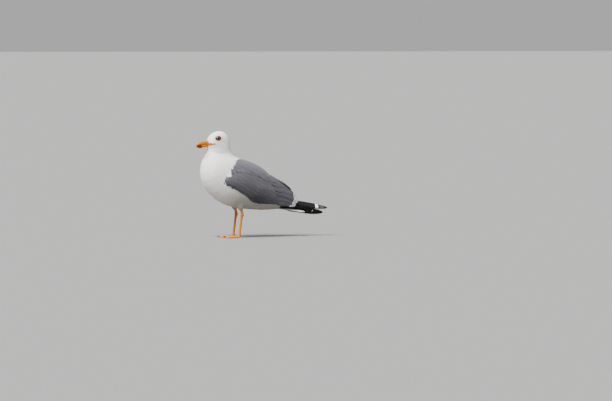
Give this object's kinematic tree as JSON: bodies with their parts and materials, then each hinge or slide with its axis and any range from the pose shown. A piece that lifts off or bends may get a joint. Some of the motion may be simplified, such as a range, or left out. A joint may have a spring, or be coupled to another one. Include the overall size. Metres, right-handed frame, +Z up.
{
  "type": "yellow-legged gull",
  "caption": "Life-size still gull, standing at rest on webbed feet, wings folded with their tips crossed over the tail, hooked bill, and eyes ringed with bare skin.",
  "frame": {"origin": "on the floor, under the middle of the bird's length and width", "axes": "+X towards the tail (the bill points along -X), +Y the bird's right side, +Z up"},
  "size_m": [0.5009, 0.1534, 0.3782],
  "materials": {
    "body_plumage": "matt",
    "tail_plumage": "matt",
    "grey_plumage": "matt",
    "black_plumage": "matt",
    "bill": "satin",
    "leg_skin": "satin",
    "claw": "satin",
    "eye": "wet gloss",
    "eye_ring": "satin"
  },
  "bodies": {
    "root": {"head": "body_plumage", "neck": "body_plumage", "trunk": "body_plumage", "rump": "tail_plumage", "tail": "tail_plumage", "upper_bill": "bill", "lower_bill": "bill", "left_thigh": "body_plumage", "left_leg": "leg_skin", "left_foot": "leg_skin", "left_inner_claw": "claw", "left_middle_claw": "claw", "left_outer_claw": "claw", "left_eye": "eye", "left_eye_ring": "eye_ring", "left_wing": "grey_plumage", "left_primaries": "black_plumage", "right_thigh": "body_plumage", "right_leg": "leg_skin", "right_foot": "leg_skin", "right_inner_claw": "claw", "right_middle_claw": "claw", "right_outer_claw": "claw", "right_eye": "eye", "right_eye_ring": "eye_ring", "right_wing": "grey_plumage", "right_primaries": "black_plumage"}
  },
  "joints": []
}
